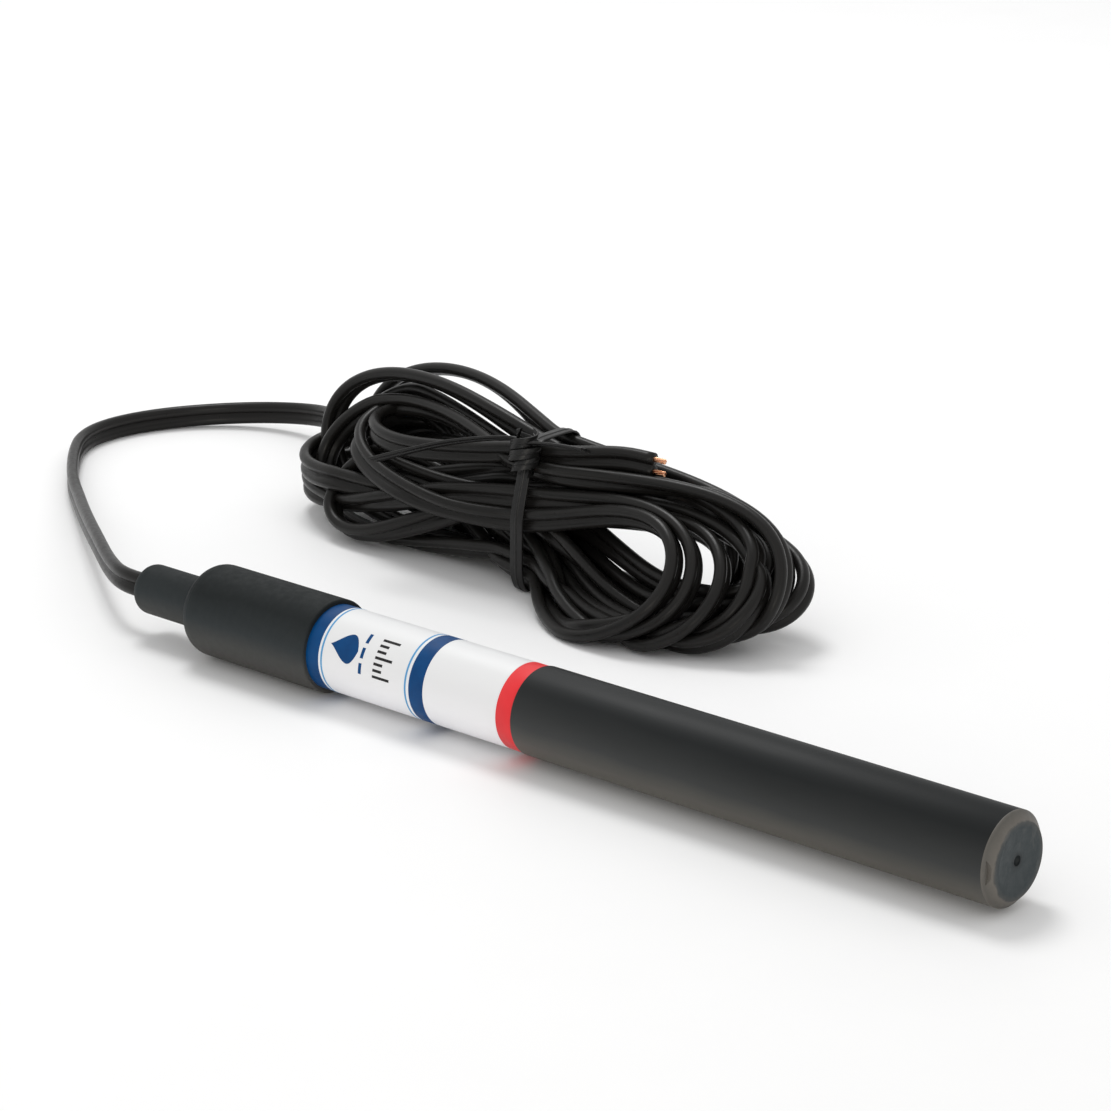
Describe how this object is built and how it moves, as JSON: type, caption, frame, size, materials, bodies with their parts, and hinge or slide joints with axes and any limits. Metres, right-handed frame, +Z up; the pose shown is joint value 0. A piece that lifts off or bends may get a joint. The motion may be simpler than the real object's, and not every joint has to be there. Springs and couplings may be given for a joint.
{
  "type": "soil moisture sensor",
  "caption": "Slim sealed soil moisture probe with a rubber cable boot, banded label and blunt tip, on a flat twin lead wound into a tied hank with bare wire ends.",
  "frame": {"origin": "on the surface that the probe lies on, under the middle of the probe's length and under its axis", "axes": "+X along the probe towards its tip, +Z up, +Y from the probe towards the hank"},
  "size_m": [0.3405, 0.1374, 0.038],
  "materials": {
    "boot_rubber": "matte moulded rubber",
    "label_film": "printed white film, semi-gloss",
    "red_band": "red vinyl band, semi-gloss",
    "sleeve_plastic": "satin extruded sleeve",
    "tube_plastic": "satin extruded tube",
    "tip_plastic": "satin moulding, worn edge",
    "seal_rubber": "matte",
    "plug_plastic": "satin moulding",
    "crimp_metal": "crimped, satin",
    "potting_resin": "cast resin, glossy",
    "cord_jacket": "soft vinyl, low gloss",
    "core_insulation": "semi-gloss vinyl",
    "copper": "bare stranded copper",
    "board_laminate": "solder-mask gloss",
    "chip_plastic": "matte moulded",
    "ferrite": "matte sintered",
    "capacitor_can": "drawn can, satin",
    "capacitor_ceramic": "matte ceramic",
    "former_plastic": "natural moulded plastic",
    "electrode_brass": "rolled sheet, satin",
    "lead_insulation": "semi-gloss vinyl",
    "tie_ribbon": "semi-gloss plastic ribbon",
    "tie_steel": "drawn wire"
  },
  "bodies": {
    "root": {"cable_boot": "boot_rubber", "label_wrap": "label_film", "depth_ring": "red_band", "sensing_sleeve": "sleeve_plastic", "sensor_tube": "tube_plastic", "tip_plug": "tip_plastic", "tip_seal": "seal_rubber", "rear_plug": "plug_plastic", "rear_seal": "seal_rubber", "cord_clamp": "crimp_metal", "rear_potting": "potting_resin", "cord_tail": "cord_jacket", "core_leads": "core_insulation", "core_conductors": "copper", "circuit_board": "board_laminate", "rear_board_ring": "former_plastic", "front_board_ring": "former_plastic", "oscillator_chip": "chip_plastic", "regulator_chip": "chip_plastic", "filter_inductor": "ferrite", "filter_capacitor": "capacitor_can", "chip_capacitors": "capacitor_ceramic", "chip_resistors": "chip_plastic", "polarity_diode": "chip_plastic", "electrode_former": "former_plastic", "rear_electrode": "electrode_brass", "front_electrode": "electrode_brass", "rear_lead": "lead_insulation", "front_lead": "lead_insulation", "cord_run": "cord_jacket", "cord_hank": "cord_jacket", "cord_free_end": "cord_jacket", "bare_conductors": "copper", "twist_tie": "tie_ribbon", "tie_wire": "tie_steel"}
  },
  "joints": []
}
